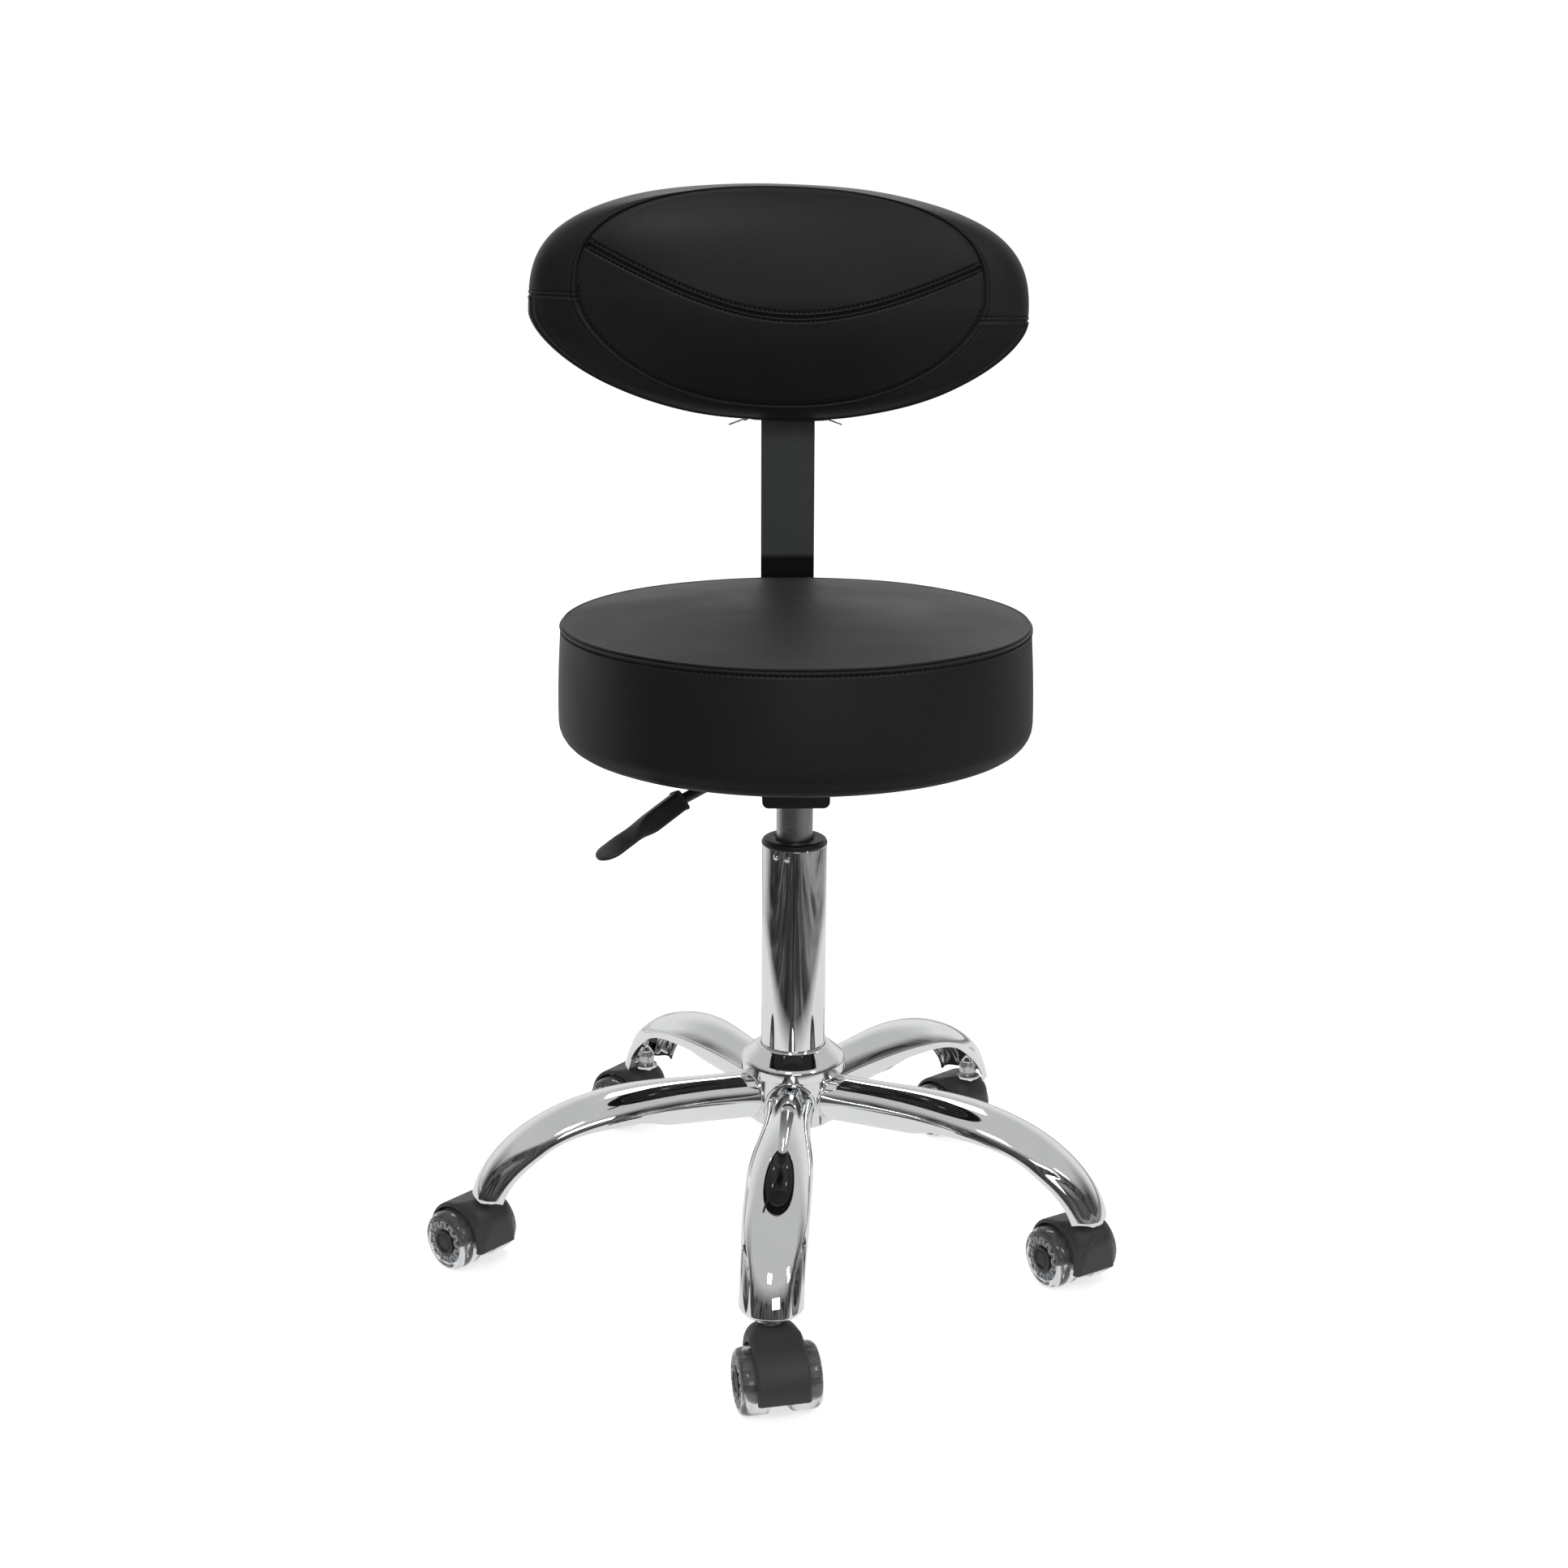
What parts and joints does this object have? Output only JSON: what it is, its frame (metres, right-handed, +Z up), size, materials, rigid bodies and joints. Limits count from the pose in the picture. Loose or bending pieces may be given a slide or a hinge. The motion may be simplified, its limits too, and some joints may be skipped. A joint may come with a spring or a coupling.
{
  "type": "rolling stylist stool",
  "caption": "Rolling stool with a round padded seat on a gas lift, a padded back rest on a flat bar, and a chrome star base on twin-wheel casters.",
  "frame": {"origin": "on the floor, under the axis of the gas lift column", "axes": "+Z up along the column; the sitter faces -Y, with the back rest on the +Y side"},
  "size_m": [0.532, 0.548, 0.8147],
  "materials": {
    "chrome": "polished",
    "steel": "brushed",
    "black_steel": "satin",
    "grey_bar": "satin powder coat",
    "black_plastic": "matte",
    "hood_plastic": "matte",
    "rubber": "matte",
    "core_plastic": "gloss",
    "clear_tyre": "gloss, clear grey",
    "vinyl": "matte",
    "foam": "matte",
    "under_cloth": "matte",
    "plywood": "raw"
  },
  "bodies": {
    "base": {"base_hub": "chrome", "base_legs": "chrome", "caster_sockets": "steel", "column_tube": "chrome", "column_collar": "black_plastic", "thrust_bearing": "steel"},
    "lift_rod": {"piston_rod": "steel", "rod_clip": "steel", "bumper": "rubber"},
    "seat": {"gas_cylinder": "steel", "swivel_plate": "black_steel", "cone_socket": "steel", "seat_bolts": "steel", "seat_board": "plywood", "tee_nuts": "steel", "seat_foam": "foam", "seat_cover": "vinyl", "dust_cover": "under_cloth", "bar_guide": "black_steel"},
    "lever": {"lever_rod": "black_steel", "lever_grip": "black_plastic"},
    "release_pin": {"release_pin": "steel"},
    "back_rest": {"back_bar": "grey_bar", "back_board": "plywood", "back_foam": "foam", "back_cover": "vinyl", "back_screws": "steel", "zip_pulls": "steel"},
    "clamp_knob": {"clamp_knob": "black_plastic"},
    "caster_1": {"caster_1_hood": "hood_plastic", "caster_1_pins": "chrome"},
    "caster_1_wheel_a": {"caster_1_core_a": "core_plastic", "caster_1_tyre_a": "clear_tyre"},
    "caster_1_wheel_b": {"caster_1_core_b": "core_plastic", "caster_1_tyre_b": "clear_tyre"},
    "caster_2": {"caster_2_hood": "hood_plastic", "caster_2_pins": "chrome"},
    "caster_2_wheel_a": {"caster_2_core_a": "core_plastic", "caster_2_tyre_a": "clear_tyre"},
    "caster_2_wheel_b": {"caster_2_core_b": "core_plastic", "caster_2_tyre_b": "clear_tyre"},
    "caster_3": {"caster_3_hood": "hood_plastic", "caster_3_pins": "chrome"},
    "caster_3_wheel_a": {"caster_3_core_a": "core_plastic", "caster_3_tyre_a": "clear_tyre"},
    "caster_3_wheel_b": {"caster_3_core_b": "core_plastic", "caster_3_tyre_b": "clear_tyre"},
    "caster_4": {"caster_4_hood": "hood_plastic", "caster_4_pins": "chrome"},
    "caster_4_wheel_a": {"caster_4_core_a": "core_plastic", "caster_4_tyre_a": "clear_tyre"},
    "caster_4_wheel_b": {"caster_4_core_b": "core_plastic", "caster_4_tyre_b": "clear_tyre"},
    "caster_5": {"caster_5_hood": "hood_plastic", "caster_5_pins": "chrome"},
    "caster_5_wheel_a": {"caster_5_core_a": "core_plastic", "caster_5_tyre_a": "clear_tyre"},
    "caster_5_wheel_b": {"caster_5_core_b": "core_plastic", "caster_5_tyre_b": "clear_tyre"}
  },
  "joints": [
    {"name": "seat_swivel", "type": "hinge", "parent": "base", "child": "lift_rod", "pos_m": [0, 0, 0.12], "axis": [0, 0, 1], "continuous": true},
    {"name": "seat_height", "type": "slide", "parent": "lift_rod", "child": "seat", "axis": [0, 0, 1], "range_m": [0, 0.13]},
    {"name": "lever_lift", "type": "hinge", "parent": "seat", "child": "lever", "pos_m": [-0.01414, -0.01414, 0.3965], "axis": [-0.7071, 0.7071, 0], "range_deg": [0, 6], "stiffness_Nm_per_rad": 2},
    {"name": "release_press", "type": "slide", "parent": "seat", "child": "release_pin", "axis": [0, 0, -1], "range_m": [0, 0.0022]},
    {"name": "back_depth", "type": "slide", "parent": "seat", "child": "back_rest", "axis": [0, 1, 0], "range_m": [0, 0.035]},
    {"name": "knob_turn", "type": "hinge", "parent": "seat", "child": "clamp_knob", "pos_m": [0, 0.099, 0.38], "axis": [0, 0, 1], "range_deg": [0, 180]},
    {"name": "caster_1_swivel", "type": "hinge", "parent": "base", "child": "caster_1", "pos_m": [-0.02319, -0.24089, 0.057], "axis": [0, 0, 1], "continuous": true},
    {"name": "caster_1_spin_a", "type": "hinge", "parent": "caster_1", "child": "caster_1_wheel_a", "pos_m": [-0.01928, -0.26101, 0.02325], "axis": [0.9816, 0.1908, 0], "continuous": true},
    {"name": "caster_1_spin_b", "type": "hinge", "parent": "caster_1", "child": "caster_1_wheel_b", "pos_m": [-0.01928, -0.26101, 0.02325], "axis": [0.9816, 0.1908, 0], "continuous": true},
    {"name": "caster_2_swivel", "type": "hinge", "parent": "base", "child": "caster_2", "pos_m": [0.22193, -0.0965, 0.057], "axis": [0, 0, 1], "continuous": true},
    {"name": "caster_2_spin_a", "type": "hinge", "parent": "caster_2", "child": "caster_2_wheel_a", "pos_m": [0.21168, -0.07874, 0.02325], "axis": [-0.866, -0.5, 0], "continuous": true},
    {"name": "caster_2_spin_b", "type": "hinge", "parent": "caster_2", "child": "caster_2_wheel_b", "pos_m": [0.21168, -0.07874, 0.02325], "axis": [-0.866, -0.5, 0], "continuous": true},
    {"name": "caster_3_swivel", "type": "hinge", "parent": "base", "child": "caster_3", "pos_m": [0.16035, 0.18125, 0.057], "axis": [0, 0, 1], "continuous": true},
    {"name": "caster_3_spin_a", "type": "hinge", "parent": "caster_3", "child": "caster_3_wheel_a", "pos_m": [0.14745, 0.19718, 0.02325], "axis": [-0.7771, -0.6293, 0], "continuous": true},
    {"name": "caster_3_spin_b", "type": "hinge", "parent": "caster_3", "child": "caster_3_wheel_b", "pos_m": [0.14745, 0.19718, 0.02325], "axis": [-0.7771, -0.6293, 0], "continuous": true},
    {"name": "caster_4_swivel", "type": "hinge", "parent": "base", "child": "caster_4", "pos_m": [-0.12282, 0.20851, 0.057], "axis": [0, 0, 1], "continuous": true},
    {"name": "caster_4_spin_a", "type": "hinge", "parent": "caster_4", "child": "caster_4_wheel_a", "pos_m": [-0.13898, 0.22114, 0.02325], "axis": [-0.6157, -0.788, 0], "continuous": true},
    {"name": "caster_4_spin_b", "type": "hinge", "parent": "caster_4", "child": "caster_4_wheel_b", "pos_m": [-0.13898, 0.22114, 0.02325], "axis": [-0.6157, -0.788, 0], "continuous": true},
    {"name": "caster_5_swivel", "type": "hinge", "parent": "base", "child": "caster_5", "pos_m": [-0.23626, -0.05238, 0.057], "axis": [0, 0, 1], "continuous": true},
    {"name": "caster_5_spin_a", "type": "hinge", "parent": "caster_5", "child": "caster_5_wheel_a", "pos_m": [-0.2515, -0.03866, 0.02325], "axis": [-0.6691, -0.7431, 0], "continuous": true},
    {"name": "caster_5_spin_b", "type": "hinge", "parent": "caster_5", "child": "caster_5_wheel_b", "pos_m": [-0.2515, -0.03866, 0.02325], "axis": [-0.6691, -0.7431, 0], "continuous": true}
  ],
  "couplings": [
    {"joint": "release_press", "follows": "lever_lift", "m_per_rad": 0.0206}
  ]
}
